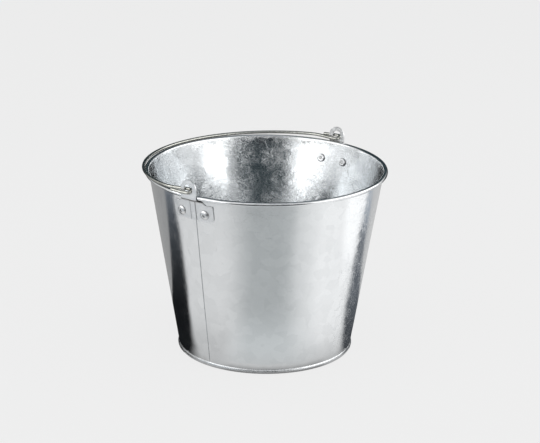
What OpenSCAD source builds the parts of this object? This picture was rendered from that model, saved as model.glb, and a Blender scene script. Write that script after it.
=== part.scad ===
// Galvanised sheet steel bucket with riveted ears and a folding wire bail.
// Millimetres. The foot stands on z = 0, +Z is up and the bail hinges about an axis along X.
// The side seam is under the left ear (-X), and the bail lies over the back (+Y) of the rim.

/* [Bucket] */
// Diameter over the rolled rim
rim_d = 240; // [230:0.5:250]
// Height from the floor to the top of the rim
bucket_h = 185; // [184.5:0.1:186]
// Outside diameter of the wall where it enters the foot seam
foot_wall_d = 174; // [150:1:200]
// Thickness of the body and base sheet
sheet_t = 0.5; // [0.4:0.05:0.6]
// Diameter of the wire inside the rolled rim
rim_wire_d = 3.4; // [3:0.1:3.6]

/* [Foot] */
// Height of the folded seam round the foot
foot_seam_h = 5; // [4.5:0.5:8]
// Height of the base sheet's underside over the floor
base_recess = 6; // [5:0.5:12]

/* [Side seam] */
// Width of the pressed lock seam on the outside of the wall
seam_w = 4; // [3:0.5:5]
// How far the lock seam stands out from the wall
seam_t = 0.6; // [0.4:0.1:0.8]
// How far the seam wanders sideways over the height of the bucket
seam_lean = 4.5; // [0:0.5:5]

/* [Ears] */
// Thickness of the ear plates
ear_t = 1; // [0.8:0.1:1.2]
// Width of an ear plate across both wings
ear_w = 46.6; // [42:0.2:50]
// Height of the ear plate's bottom edge
ear_bottom_z = 159.2; // [154:0.1:161]
// Height of the top edge of the wings
wing_top_z = 175.9; // [174:0.1:177]
// Radius of the plate's bottom corners
wing_corner_r = 4.5; // [3:0.5:6]
// Width of the tongue that carries the bail
tongue_w = 18.4; // [17:0.2:20]
// Height of the middle of the bail hole and of the tongue's round top
hole_z = 190.7; // [190.3:0.1:192]
// Diameter of the bail hole
hole_d = 10; // [9.9:0.1:10.4]

/* [Rivets] */
// Distance between the two rivets of an ear, along the wall
rivet_pitch = 27.3; // [26:0.1:30]
// Height of the rivets
rivet_z = 166.2; // [165.5:0.1:168]
// Diameter of the rivet heads
rivet_head_d = 9.6; // [8.5:0.1:10]
// Height of the rivet heads
rivet_head_h = 2; // [1.6:0.1:2.4]
// Diameter of the rivet shanks
rivet_shank_d = 4.8; // [4:0.1:5]
// Diameter of the set ends of the rivets, inside the bucket
rivet_tail_d = 8; // [7:0.1:9]
// Diameter of the setting pins left inside the rivets
pin_d = 2.6; // [2:0.1:2.8]

/* [Bail] */
// Diameter of the bail wire
bail_wire_d = 3.2; // [3:0.1:3.3]
// How far the bow lies outside the wire in the rim, between the middles of the wires
bow_out = 3.2; // [2.9:0.1:3.6]
// Radius of the hook's two bends, to the middle of the wire
hook_r = 2.3; // [2.2:0.05:2.5]
// Length of the straight stretch of wire that crosses the ear and turns in its hole
hook_pin_l = 1; // [1:0.1:1.4]
// Length of the folded end of the wire past the hook
tail_l = 19; // [12:0.5:24]
// Radius of the bend where the hook's leg meets the bow
shoulder_r = 40; // [20:1:60]
// How far in front of the hole's middle the wire hangs
pivot_offset = 2.6; // [2.2:0.1:2.7]
// How far below the hole's middle the wire hangs
pivot_drop = 1.65; // [1.2:0.05:1.7]

/* [Hidden] */

round_fn = 96;          // segments of a full circle where a mesh is drawn
slip = 0.05;            // gap between sheets that are pressed tight together
tip = 0.02;             // overlap that joins two solids of one piece
wire_joint_l = 0.6;     // length of the collar over a joint between two bends of the bail
overcut = 1;            // how far a cut runs past the solid it goes through
arc_step = 30;          // widest wedge, in degrees, that cuts a part out of a ring
zinc = [0.72, 0.74, 0.76];
bright_wire = [0.66, 0.66, 0.62];

// Rolled rim
bead_in_r = rim_wire_d / 2;
bead_out_r = bead_in_r + sheet_t;
bead_ring_r = rim_d / 2 - bead_out_r;
bead_z = bucket_h - bead_out_r;
curl_end = -145;        // angle where the curled edge stops, under the bead

// Taper of the wall: a straight line from the foot seam that just touches the rim wire
foot_wall_r = foot_wall_d / 2;
wall_run = bead_ring_r - foot_wall_r;
wall_rise = bead_z - foot_seam_h;
taper = atan(wall_run / wall_rise) - asin(bead_in_r / norm([wall_run, wall_rise]));
function wall_r(z) = foot_wall_r + (z - foot_seam_h) * tan(taper);

// Foot seam: the wall's edge is hooked outward and the base's edge is folded round it
fold_in = -sheet_t - slip;              // inside of the fold, from the wall's outer face
fold_out = sheet_t + slip * 3;
fold_r = (fold_out - fold_in) / 2 + sheet_t;
fold_flat = 0.1;                        // how much of the fold is pressed flat to stand on
fold_z = fold_r - fold_flat;
wall_hook_r = slip + sheet_t;
wall_hook_gap = 1;                      // gap over the end of the wall's hook, inside the seam
wall_hook_h = foot_seam_h - fold_z - wall_hook_gap;
wall_slant = (bead_z - fold_z) / cos(taper) + bead_in_r * sin(taper);

// Side seam
seam_low_z = foot_seam_h + slip * 6;
seam_rise = (bead_z - bead_out_r * 2 - seam_low_z) / cos(taper);
seam_spread = 10;                       // angle from the seam's middle past its edges

// Ears
tongue_in_r = rim_d / 2 + slip * 3;
tongue_out_r = tongue_in_r + ear_t;
joggle_foot_z = bead_z - bead_out_r * 2;
joggle_head_z = bead_z - bead_out_r * 0.6;
ear_top_z = hole_z + tongue_w / 2;
shoulder_foot_w = 33;                   // width under the tongue where the shoulders start
wing_top_corner_r = 1.5;
crease_w = seam_w + ear_t * 2 + slip * 4;   // raised band of the left ear over the seam
ear_spread = 14;                        // angle from the ear's middle past its edge

// Rivets
rivet_r = wall_r(rivet_z);
rivet_angle = rivet_pitch / 2 / rivet_r * 180 / PI;
rivet_seat = ear_t + slip * 2;          // from the wall's outer face to the rivet's head
rivet_bore_l = 8;                       // length of the bore cut through the wall and ear
rivet_tail_h = 1.8;
pin_depth = 1.2;                        // recess left over the pin in the head
pin_tip = 0.2;                          // how far the pin's end stands out inside

// Bail
bail_wire_r = bail_wire_d / 2;
bow_r = bead_ring_r + bow_out;
pivot_z = hole_z - pivot_drop;
hook_x = (tongue_in_r + tongue_out_r) / 2;
leg_x = hook_x - hook_pin_l / 2 - hook_r;
tail_x = hook_x + hook_pin_l / 2 + hook_r;
bail_clear = 0.35;                      // gap between the resting bow and the rim
bow_lift = sqrt((bead_out_r + bail_wire_r + bail_clear) ^ 2 - bow_out ^ 2);
droop = asin((pivot_z - bead_z - bow_lift) / (bow_r + pivot_offset));
// Middle of the shoulder bend, which touches the leg's line and the bow from inside
bend_x = leg_x - shoulder_r;
bend_y = pivot_offset + sqrt((bow_r - shoulder_r) ^ 2 - bend_x ^ 2);
bend_end = atan2(bend_y - pivot_offset, bend_x);

// Part of a ring in section, between two radii and two angles
module arc_band(r_in, r_out, a0, a1) {
    steps = ceil((a1 - a0) / arc_step);
    reach = r_out * 2;
    intersection() {
        difference() {
            circle(r_out, $fn = round_fn);
            circle(r_in, $fn = round_fn);
        }
        polygon(concat([[0, 0]], [
            for (i = [0 : steps])
            let (a = a0 + (a1 - a0) * i / steps)
            reach * [cos(a), sin(a)]
        ]));
    }
}

// Places a section in the slanted frame of the wall: x outward, y up along the wall
module on_wall(z) {
    translate([wall_r(z), z]) rotate(-taper) children();
}

// ---- Wall: tapered body sheet with a curled rim and a hooked foot ----
module wall_section() {
    on_wall(fold_z) {
        // straight wall
        translate([-sheet_t, wall_hook_r - tip]) square([sheet_t, wall_slant - wall_hook_r + slip]);
        // hook at the foot, turned outward and up
        translate([slip, wall_hook_r]) arc_band(slip, wall_hook_r, 180, 360);
        translate([slip * 2, wall_hook_r - tip]) square([sheet_t, wall_hook_h]);
    }
    translate([bead_ring_r, bead_z]) arc_band(bead_in_r, bead_out_r, curl_end, 180 - taper);
}

// Upright slab on the left side that leans like the seam
module seam_slab(width) {
    lean = atan(seam_lean / bucket_h);
    translate([0, 0, rivet_z]) rotate([lean, 0, 0])
        translate([-rim_d, -width / 2, -bucket_h]) cube([rim_d, width, bucket_h * 2]);
}

module side_seam() {
    intersection() {
        rotate_extrude(angle = seam_spread * 2, start = 180 - seam_spread, $fn = round_fn)
            on_wall(seam_low_z) translate([-sheet_t / 2, 0])
                square([sheet_t / 2 + seam_t, seam_rise]);
        seam_slab(seam_w);
    }
}

module wall() {
    color(zinc) difference() {
        union() {
            rotate_extrude($fn = round_fn) wall_section();
            side_seam();
        }
        every_rivet() rivet_hole();
    }
}

// ---- Wire inside the curled rim ----
module rim_wire() {
    color(bright_wire) rotate_extrude($fn = round_fn)
        translate([bead_ring_r, bead_z]) circle(bead_in_r - slip, $fn = round_fn);
}

// ---- Base: raised disc with its edge folded round the wall's hook ----
module base_section() {
    disc_r = wall_r(base_recess) - sheet_t - slip * 2;
    flange_h = (base_recess + sheet_t - fold_z) / cos(taper);
    translate([0, base_recess]) square([disc_r, sheet_t]);
    on_wall(fold_z) {
        // inner flange, standing against the inside of the wall
        translate([fold_in - sheet_t, -tip]) square([sheet_t, flange_h]);
        // fold under the foot
        translate([(fold_in + fold_out) / 2, 0]) arc_band(fold_r - sheet_t, fold_r, 180, 360);
        // outer band of the seam
        translate([fold_out, -tip]) square([sheet_t, foot_seam_h - fold_z]);
    }
}

module base() {
    color(zinc) rotate_extrude($fn = round_fn) intersection() {
        base_section();
        square([rim_d, bucket_h]);
    }
}

// ---- Ears ----
// Unit normal on the right of the way from a to b
function side_normal(a, b) = [b.y - a.y, a.x - b.x] / norm(b - a);
// Step from the inner to the outer corner of a sheet bent between two normals
function mitre(n1, n2) = ear_t * (n1 + n2) / (1 + n1 * n2);

// Bent sheet in section: flat on the wall, joggled out round the rim, then upright
module ear_section(lift) {
    low_z = ear_bottom_z - ear_t;
    low = [wall_r(low_z) + slip + lift, low_z];
    joggle_foot = [wall_r(joggle_foot_z) + slip + lift, joggle_foot_z];
    joggle_head = [tongue_in_r, joggle_head_z];
    top = [tongue_in_r, ear_top_z + ear_t];
    wing_normal = side_normal(low, joggle_foot);
    joggle_normal = side_normal(joggle_foot, joggle_head);
    tongue_normal = side_normal(joggle_head, top);
    polygon([
        low, joggle_foot, joggle_head, top,
        top + ear_t * tongue_normal,
        joggle_head + mitre(joggle_normal, tongue_normal),
        joggle_foot + mitre(wing_normal, joggle_normal),
        low + ear_t * wing_normal
    ]);
}

// Plate of the wings, seen from the front, with a corner radius below and one above
module wing_outline() {
    half = ear_w / 2;
    low = ear_bottom_z + wing_corner_r;
    high = wing_top_z - wing_top_corner_r;
    translate([-half + wing_corner_r, ear_bottom_z])
        square([ear_w - wing_corner_r * 2, wing_top_z - ear_bottom_z]);
    translate([-half, low]) square([ear_w, high - low]);
    translate([-half + wing_top_corner_r, low])
        square([ear_w - wing_top_corner_r * 2, wing_top_z - low]);
    for (side = [-1, 1]) {
        translate([side * (half - wing_corner_r), low]) circle(wing_corner_r, $fn = round_fn);
        translate([side * (half - wing_top_corner_r), high])
            circle(wing_top_corner_r, $fn = round_fn);
    }
}

// Outline of an ear from the front: y across, z up
module ear_outline() {
    difference() {
        union() {
            wing_outline();
            polygon([
                [-shoulder_foot_w / 2, wing_top_z - slip], [shoulder_foot_w / 2, wing_top_z - slip],
                [tongue_w / 2, joggle_head_z], [-tongue_w / 2, joggle_head_z]
            ]);
            translate([-tongue_w / 2, wing_top_z - slip])
                square([tongue_w, hole_z - wing_top_z + slip]);
            translate([0, hole_z]) circle(tongue_w / 2, $fn = round_fn);
        }
        translate([0, hole_z]) circle(hole_d / 2, $fn = round_fn);
    }
}

// Bent sheet cut to the outline, which is drawn through the right half of the bucket
module ear_blank(lift) {
    intersection() {
        rotate_extrude(angle = ear_spread * 2, start = -ear_spread, $fn = round_fn)
            ear_section(lift);
        translate([rim_d / 4, 0, 0]) rotate([90, 0, 90]) linear_extrude(rim_d / 2) ear_outline();
    }
}

// Middle slab of an ear, where the left one is creased out over the side seam
module crease_slab() {
    translate([0, -crease_w / 2, 0]) cube([rim_d, crease_w, bucket_h * 2]);
}

module ear_left() {
    color(zinc) rotate([0, 0, 180]) difference() {
        union() {
            difference() {
                ear_blank(0);
                crease_slab();
            }
            intersection() {
                ear_blank(seam_t);
                crease_slab();
            }
        }
        rivet_pair() rivet_hole();
    }
}

module ear_right() {
    color(zinc) difference() {
        ear_blank(0);
        rivet_pair() rivet_hole();
    }
}

// ---- Rivets ----
// Places children on the right side, square to the wall, with x outward along the rivet
module at_rivet(side) {
    rotate([0, 0, side * rivet_angle])
        translate([rivet_r, 0, rivet_z]) rotate([0, taper, 0]) children();
}

module rivet_pair() {
    for (side = [-1, 1]) at_rivet(side) children();
}

module every_rivet() {
    for (turn = [0, 180]) rotate([0, 0, turn]) rivet_pair() children();
}

module rivet_hole() {
    rotate([0, 90, 0])
        cylinder(h = rivet_bore_l, d = rivet_shank_d + slip * 2, center = true, $fn = round_fn);
}

// Section of a rivet, right half: domed head, shank, and the set end rounded over inside
module rivet_section() {
    dome_r = (rivet_head_d ^ 2 / 4 + rivet_head_h ^ 2) / (2 * rivet_head_h);
    tail_z = -sheet_t - slip - rivet_tail_h;
    tail_round = rivet_tail_h / 2;
    bore_l = rivet_seat + rivet_head_h - tail_z + overcut * 2;
    difference() {
        union() {
            translate([0, tail_z]) square([rivet_shank_d / 2, rivet_seat - tail_z + tip]);
            intersection() {
                translate([0, rivet_seat + rivet_head_h - dome_r]) circle(dome_r, $fn = round_fn);
                translate([0, rivet_seat]) square([rivet_head_d, rivet_head_h]);
            }
            translate([0, tail_z]) square([rivet_tail_d / 2 - tail_round, rivet_tail_h]);
            translate([rivet_tail_d / 2 - tail_round, tail_z + tail_round])
                circle(tail_round, $fn = round_fn);
        }
        translate([0, tail_z - overcut]) square([pin_d / 2 + slip, bore_l]);
    }
}

module rivet() {
    rotate([0, 90, 0]) rotate_extrude($fn = round_fn) rivet_section();
}

module rivet_left_front() {
    color(zinc) rotate([0, 0, 180]) at_rivet(1) rivet();
}

module rivet_left_back() {
    color(zinc) rotate([0, 0, 180]) at_rivet(-1) rivet();
}

module rivet_right_front() {
    color(zinc) at_rivet(-1) rivet();
}

module rivet_right_back() {
    color(zinc) at_rivet(1) rivet();
}

// Broken-off setting pin that stays inside each rivet
module rivet_pin() {
    inner = sheet_t + slip + rivet_tail_h + pin_tip;
    outer = rivet_seat + rivet_head_h - pin_depth;
    rotate([0, 90, 0]) translate([0, 0, -inner])
        cylinder(h = inner + outer, d = pin_d, $fn = round_fn);
}

module rivet_pins() {
    color(bright_wire) every_rivet() rivet_pin();
}

// ---- Bail ----
module wire_arc(r, a0, a1) {
    rotate_extrude(angle = a1 - a0, start = a0, $fn = round_fn * 2)
        translate([r, 0]) circle(bail_wire_r, $fn = round_fn / 2);
}

module wire_run(x, y0, y1) {
    translate([x, y0, 0]) rotate([-90, 0, 0])
        cylinder(h = y1 - y0, r = bail_wire_r, $fn = round_fn / 2);
}

// Short collar, as thick as the wire, that closes the hairline where two bends meet
module wire_joint(x, y, turn) {
    translate([x, y, 0]) rotate([0, 0, turn]) rotate([90, 0, 0])
        cylinder(h = wire_joint_l, r = bail_wire_r + tip, center = true, $fn = round_fn / 2);
}

// Hook, folded tail, leg and shoulder of one end, flat, with the hinge axis at y = 0
module bail_end() {
    translate([leg_x + hook_r, hook_r, 0]) wire_arc(hook_r, 180, 270);
    translate([leg_x + hook_r, 0, 0]) rotate([0, 90, 0])
        cylinder(h = hook_pin_l, r = bail_wire_r, $fn = round_fn / 2);
    translate([tail_x - hook_r, hook_r, 0]) wire_arc(hook_r, 270, 360);
    wire_run(tail_x, hook_r, hook_r + tail_l);
    wire_run(leg_x, hook_r, bend_y);
    translate([bend_x, bend_y, 0]) wire_arc(shoulder_r, 0, bend_end);
    wire_joint(leg_x, bend_y, 0);
    wire_joint(bow_r * cos(bend_end), pivot_offset + bow_r * sin(bend_end), bend_end);
}

module bail() {
    color(bright_wire) translate([0, -pivot_offset, pivot_z]) rotate([-droop, 0, 0]) {
        translate([0, pivot_offset, 0]) wire_arc(bow_r, bend_end, 180 - bend_end);
        bail_end();
        mirror([1, 0, 0]) bail_end();
    }
}

wall();
rim_wire();
base();
ear_left();
ear_right();
rivet_left_front();
rivet_left_back();
rivet_right_front();
rivet_right_back();
rivet_pins();
bail();
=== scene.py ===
import math
import bpy
import bmesh
from mathutils import Matrix, Vector, noise


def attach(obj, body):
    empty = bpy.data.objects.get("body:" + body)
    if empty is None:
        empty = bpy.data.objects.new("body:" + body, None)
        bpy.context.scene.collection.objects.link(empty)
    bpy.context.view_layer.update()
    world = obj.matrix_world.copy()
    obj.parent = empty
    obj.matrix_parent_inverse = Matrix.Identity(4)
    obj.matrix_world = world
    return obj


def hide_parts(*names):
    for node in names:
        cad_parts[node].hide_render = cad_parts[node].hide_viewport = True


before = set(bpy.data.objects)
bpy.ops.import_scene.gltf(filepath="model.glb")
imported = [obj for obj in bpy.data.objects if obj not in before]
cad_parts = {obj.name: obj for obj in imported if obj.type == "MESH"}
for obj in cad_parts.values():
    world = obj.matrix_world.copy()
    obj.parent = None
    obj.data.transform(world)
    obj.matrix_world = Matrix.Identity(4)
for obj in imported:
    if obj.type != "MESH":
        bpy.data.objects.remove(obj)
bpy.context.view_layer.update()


# ---- Wall ----
# Tapered body of half-millimetre galvanised sheet, rolled to a cone and closed by a lock seam
# under the left ear. Its top edge is curled outward over a wire and its bottom edge is hooked
# outward into the foot seam. The zinc shows a fine feathery spangle and faint handling marks.

MM = 0.001
SHEET = 0.5                         # millimetres, as are all sizes below
SLIP = 0.05                         # gap between sheets that are pressed together
RIM_RING_R, RIM_Z = 117.8, 182.8    # middle of the wire in the rim
CURL_IN_R, CURL_OUT_R = 1.7, 2.2
CURL_END = -145.0                   # degrees round the wire where the curled edge stops
FOOT_R, FOOT_Z = 87.0, 5.0
TAPER = math.atan2(RIM_RING_R - FOOT_R, RIM_Z - FOOT_Z) - math.asin(
    CURL_IN_R / math.hypot(RIM_RING_R - FOOT_R, RIM_Z - FOOT_Z))
FOLD_Z = 1.0                        # middle of the fold that the bucket stands on


def wall_radius(z):
    """Radius of the wall's outer face at height z."""
    return FOOT_R + (z - FOOT_Z) * math.tan(TAPER)


def beside_wall(x, y, z=FOLD_Z):
    """Radius and height of a point x outward from the wall's face and y up along it from height z."""
    return (wall_radius(z) + x * math.cos(TAPER) + y * math.sin(TAPER),
            z - x * math.sin(TAPER) + y * math.cos(TAPER))


def bend_beside_wall(x, y, radius, angles):
    """Points round a bend, placed as by beside_wall, by angle in degrees."""
    return [beside_wall(x + radius * math.cos(math.radians(a)), y + radius * math.sin(math.radians(a)))
            for a in angles]


def bend_points(centre, radius, start, end, steps):
    """Points round a bend, by angle in degrees."""
    return [(centre[0] + radius * math.cos(math.radians(start + (end - start) * i / steps)),
             centre[1] + radius * math.sin(math.radians(start + (end - start) * i / steps)))
            for i in range(steps + 1)]


def straight_points(a, b, steps):
    """Points along a straight stretch, without its last one."""
    return [(a[0] + (b[0] - a[0]) * i / steps, a[1] + (b[1] - a[1]) * i / steps)
            for i in range(steps)]


def soft_step(x, low, high):
    """0 below low, 1 above high and a smooth rise between."""
    t = min(1.0, max(0.0, (x - low) / (high - low)))
    return t * t * (3 - 2 * t)


def spun_sheet(outline, angles, worked=None, closed=True):
    """Mesh of a section in radius and height, spun round the axis. worked moves each point.
    An open section starts and ends on the axis."""
    mesh = bmesh.new()
    rings = []
    for index, (r, z) in enumerate(outline):
        if r == 0:
            rings.append([mesh.verts.new((0, 0, z * MM))] * len(angles))
            continue
        ring = []
        for angle in angles:
            at_r, at_z, at_angle = worked(index, r, z, angle) if worked else (r, z, angle)
            turn = math.radians(at_angle)
            ring.append(mesh.verts.new((at_r * math.cos(turn) * MM, at_r * math.sin(turn) * MM, at_z * MM)))
        rings.append(ring)
    pairs = zip(rings, rings[1:] + rings[:1]) if closed else zip(rings, rings[1:])
    for low, high in pairs:
        for i in range(len(angles)):
            j = (i + 1) % len(angles)
            corners = []
            for vert in (low[i], low[j], high[j], high[i]):
                if vert not in corners:
                    corners.append(vert)
            mesh.faces.new(corners)
    bmesh.ops.recalc_face_normals(mesh, faces=mesh.faces)
    return mesh


def set_in_place(name, mesh, material, body, nodes, sharp=35.0):
    """Makes the finished piece from its mesh and fixes it to its body in place of its CAD nodes.
    Edges of more than sharp degrees stay crisp."""
    data = bpy.data.meshes.new(name)
    mesh.to_mesh(data)
    mesh.free()
    data.shade_smooth()
    data.set_sharp_from_angle(angle=math.radians(sharp))
    data.materials.append(material)
    piece = bpy.data.objects.new(name, data)
    bpy.context.scene.collection.objects.link(piece)
    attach(piece, body)
    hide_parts(*nodes)
    return piece


def add_node(tree, kind, settings=None, **sockets):
    """A node with its settings made and its sockets set or linked, by name or number."""
    made = tree.nodes.new(kind)
    for key, value in (settings or {}).items():
        setattr(made, key, value)
    for key, value in sockets.items():
        numbered = key[0] == "n" and key[1:].isdigit()
        socket = made.inputs[int(key[1:]) if numbered else key.replace("_", " ")]
        if isinstance(value, bpy.types.NodeSocket):
            tree.links.new(value, socket)
        else:
            socket.default_value = value
    return made


def maths(tree, operation, a, b=0.0, clamp=False):
    """One sum on two values."""
    settings = {"operation": operation, "use_clamp": clamp}
    return add_node(tree, "ShaderNodeMath", settings, n0=a, n1=b).outputs[0]


def vectors(tree, operation, a, b):
    """One sum on two places or directions."""
    made = add_node(tree, "ShaderNodeVectorMath", {"operation": operation}, n0=a, n1=b)
    return made.outputs["Value"] if operation == "DOT_PRODUCT" else made.outputs[0]


def weighed(tree, *shares):
    """The sum of some values, each times its own weight."""
    total = maths(tree, "MULTIPLY", *shares[0])
    for value, weight in shares[1:]:
        total = maths(tree, "ADD", total, maths(tree, "MULTIPLY", value, weight))
    return total


def from_to(tree, value, low, high, to_low, to_high):
    """A value carried smoothly from one range to another, held at both ends."""
    return add_node(tree, "ShaderNodeMapRange", {"interpolation_type": "SMOOTHSTEP"},
                    Value=value, From_Min=low, From_Max=high, To_Min=to_low, To_Max=to_high).outputs[0]


def mottle(tree, place, scale, detail, roughness=0.5, swirl=0.0):
    """Cloudy noise from 0 to 1, scale in patches a metre."""
    return add_node(tree, "ShaderNodeTexNoise", Vector=place, Scale=scale, Detail=detail,
                    Roughness=roughness, Distortion=swirl).outputs["Fac"]


def two_tone(tree, share, *colours):
    """A colour between two, each fixed or from another node."""
    first, second = [c + (1.0,) if isinstance(c, tuple) else c for c in colours]
    return add_node(tree, "ShaderNodeMix", {"data_type": "RGBA"}, n0=share, n6=first, n7=second).outputs[2]


def shop_finish(name):
    """A new all-metal material, with its tree, its shader and the place on the piece."""
    material = bpy.data.materials.new(name)
    material.use_nodes = True
    tree = material.node_tree
    metal = tree.nodes["Principled BSDF"]
    metal.inputs["Metallic"].default_value = 1.0
    return material, tree, metal, add_node(tree, "ShaderNodeTexCoord").outputs["Object"]


# colour of the painted shade in crevices and folds
SHADE_COLOUR = (0.10, 0.10, 0.10)


def dress_metal(tree, metal, colour, roughness, height, shade_reach):
    """Gives the metal its colour, roughness and fine relief. Painted shade darkens it where another face
    comes closer than shade_reach, as shade falls in crevices, and in the bends and pressed lines that a
    mesh marks with painted shade."""
    # painted shade: darker wherever another face comes close, as shade falls in crevices and gaps
    closeness = add_node(tree, "ShaderNodeAmbientOcclusion", {"samples": 6}, Distance=shade_reach * MM)
    by_gap = from_to(tree, closeness.outputs["AO"], 0.38, 0.74, 0.85, 0.0)
    marked = add_node(tree, "ShaderNodeAttribute", {"attribute_name": "painted_fold_shade"}).outputs["Fac"]
    shaded_share = maths(tree, "MAXIMUM", by_gap, marked)
    bump = add_node(tree, "ShaderNodeBump", Strength=1.0, Distance=1.0, Height=height)
    tree.links.new(two_tone(tree, shaded_share, colour, SHADE_COLOUR), metal.inputs["Base Color"])
    tree.links.new(roughness, metal.inputs["Roughness"])
    tree.links.new(bump.outputs[0], metal.inputs["Normal"])


def zinc_crystals(tree, place, size):
    """Broad zinc crystals, size in metres across: the place as their growth pushed it about, each
    crystal's own shade, and how high its leaning face stands there."""
    middle = (0.5, 0.5, 0.5)
    push = add_node(tree, "ShaderNodeTexNoise", Vector=place, Scale=0.9 / size, Detail=4.0, Roughness=0.6)
    push = vectors(tree, "SUBTRACT", push.outputs["Color"], middle)
    push = add_node(tree, "ShaderNodeVectorMath", {"operation": "SCALE"}, n0=push, Scale=1.1 * size)
    grown = vectors(tree, "ADD", place, push.outputs[0])
    crystal = add_node(tree, "ShaderNodeTexVoronoi", {"feature": "F1"}, Vector=grown, Scale=1 / size)
    way = vectors(tree, "SUBTRACT", crystal.outputs["Color"], middle)
    off_middle = vectors(tree, "SUBTRACT", grown, crystal.outputs["Position"])
    shade = add_node(tree, "ShaderNodeSeparateColor", Color=crystal.outputs["Color"]).outputs[0]
    return grown, shade, vectors(tree, "DOT_PRODUCT", way, off_middle)


def zinc_feathers(tree, grown, size):
    """Curled feather arms inside the crystals: thin crests of a swirled noise, coarse and fine."""
    arms = []
    for scale, swirl, strength in ((0.85, 2.6, 1.0), (2.0, 1.8, 0.7)):
        waves = maths(tree, "SUBTRACT", mottle(tree, grown, scale / size, 2.0, 0.5, swirl), 0.5)
        off_crest = maths(tree, "ABSOLUTE", maths(tree, "MULTIPLY", waves, 13.0))
        crest = maths(tree, "SUBTRACT", 1.0, off_crest, clamp=True)
        arms.append(from_to(tree, crest, 0.25, 1.0, 0.0, strength))
    return maths(tree, "MAXIMUM", *arms)


FACE_CHANGE = 0.01              # half the width of the change from the inward to the outward faces
UNPRESSED_WAY = (0.22, -0.975, 0.0)     # the way the strip faces that the rolls hardly touched
GRAIN_H, DENT_H = 0.003, 0.12   # millimetres of relief
RUB_LENGTH = 0.12               # scale along the height, so that rubs are long and thin
FOOT_DARK_TOP, FOOT_DARK_FULL = 0.013, 0.004     # metres up, where the darkening towards the foot ends and where it is full


def galvanised_sheet(name, dark, light, spangle_mm, tilt, fern_mm, rough_low, rough_high,
                     handling=1.0, rolled=1.0, painted_inner_light=0.0):
    """Hot-dip zinc on steel: broad crystals that each lean and shine a little differently, curled
    feathery arms inside them, cloudy patches, and fine rubs and smears from handling. rolled is how
    much of the feathers is left on the face that the rolls pressed smooth, the one turned outward,
    and painted_inner_light is how much lighter the zinc is painted on the other face, a painted highlight."""
    material, tree, metal, place = shop_finish(name)
    size = spangle_mm * MM
    grown, shade, lean = zinc_crystals(tree, place, size)
    facing = add_node(tree, "ShaderNodeNewGeometry").outputs["True Normal"]
    out_face = vectors(tree, "DOT_PRODUCT", place, facing)

    def by_face(inward, outward):
        return from_to(tree, out_face, -FACE_CHANGE, FACE_CHANGE, inward, outward)

    # a strip of the outer face, towards the front, that the rolls hardly touched
    strip = vectors(tree, "DOT_PRODUCT", facing, UNPRESSED_WAY)
    strip = from_to(tree, strip, 0.87, 0.95, 0.0, 1.0 - rolled)
    strip = maths(tree, "MULTIPLY", strip, by_face(0.0, 1.0))
    pressed = maths(tree, "MAXIMUM", by_face(1.0, rolled), strip)
    # the feathers show in some patches and are nearly gone in others
    patch = from_to(tree, mottle(tree, place, 0.32 / size, 3.0, 0.6), 0.36, 0.60, 0.15, 1.0)
    patch = maths(tree, "MAXIMUM", patch, strip)
    feathers = maths(tree, "MULTIPLY", zinc_feathers(tree, grown, size), patch)
    feathers = maths(tree, "MULTIPLY", feathers, pressed)
    grain = mottle(tree, place, 900.0, 3.0, 0.6)
    dents = mottle(tree, place, 26.0, 1.0, 0.4)
    height = weighed(tree, (maths(tree, "MULTIPLY", lean, pressed), 2 * tilt), (feathers, fern_mm * MM),
                     (grain, GRAIN_H * MM), (dents, DENT_H * MM))
    # colour: crystals, cloudy patches and darker feathers, and the inner face painted lighter
    cloud = mottle(tree, place, 22.0, 3.0, 0.55)
    tone = weighed(tree, (shade, 0.5), (cloud, 0.5), (feathers, -0.25))
    # painted highlight: the inner face is made lighter, for the light it catches
    tone = maths(tree, "ADD", maths(tree, "MULTIPLY", tone, 1 - painted_inner_light), by_face(painted_inner_light, 0.0))
    lightest = tuple(d + (l - d) / (1 - painted_inner_light) for d, l in zip(dark, light))
    zinc = two_tone(tree, tone, dark, lightest)
    # rubs: long thin marks, and smears that dull the shine
    stretched = add_node(tree, "ShaderNodeMapping", Vector=place, Scale=(1.0, 1.0, RUB_LENGTH)).outputs[0]
    rubs = from_to(tree, mottle(tree, stretched, 700.0, 2.0), 0.62, 0.78, 0.0, 1.0)
    smears = from_to(tree, mottle(tree, place, 16.0, 4.0, 0.6, 0.8), 0.45, 0.75, 0.0, 1.0)
    roughness = maths(tree, "ADD", from_to(tree, shade, 0.1, 0.9, rough_low, rough_high),
                      by_face(0.0, 0.05 * (1.0 - rolled)))
    roughness = maths(tree, "ADD", roughness, weighed(
        tree, (feathers, 0.21), (rubs, 0.03 * handling), (smears, 0.04 * handling)))
    # darker close to the foot, in patches
    up = add_node(tree, "ShaderNodeSeparateXYZ", Vector=place).outputs["Z"]
    foot_darkening = maths(tree, "MULTIPLY", from_to(tree, up, FOOT_DARK_FULL, FOOT_DARK_TOP, 1.0, 0.0),
                  from_to(tree, smears, 0.1, 0.9, 0.15, 0.6))
    foot_dark_colour = (dark[0] * 0.62, dark[1] * 0.61, dark[2] * 0.59)
    dress_metal(tree, metal, two_tone(tree, foot_darkening, zinc, foot_dark_colour), roughness, height, shade_reach=1.6)
    return material


body_sheet = galvanised_sheet(
    "galvanised_body", (0.685, 0.70, 0.71), (0.785, 0.80, 0.81), spangle_mm=9.0, tilt=0.010, fern_mm=0.014,
    rough_low=0.06, rough_high=0.10, rolled=0.2, painted_inner_light=0.25)

SEAM_HEIGHT, SEAM_GROOVE = 0.32, 0.22
SEAM_STEP = 1.95                # from the seam's middle to its crisp edge
SEAM_LOW, SEAM_TOP = 5.6, 178.2
SEAM_R = 100.0                  # radius at which widths across the seam are turned into angles
SEAM_AHEAD, SEAM_SLANT, SEAM_FROM_Z = 0.4, 0.0243, 166.0


def seam_middle(z):
    """How far the seam's middle lies in front of the side, at height z."""
    return SEAM_AHEAD + (z - SEAM_FROM_Z) * SEAM_SLANT


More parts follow.
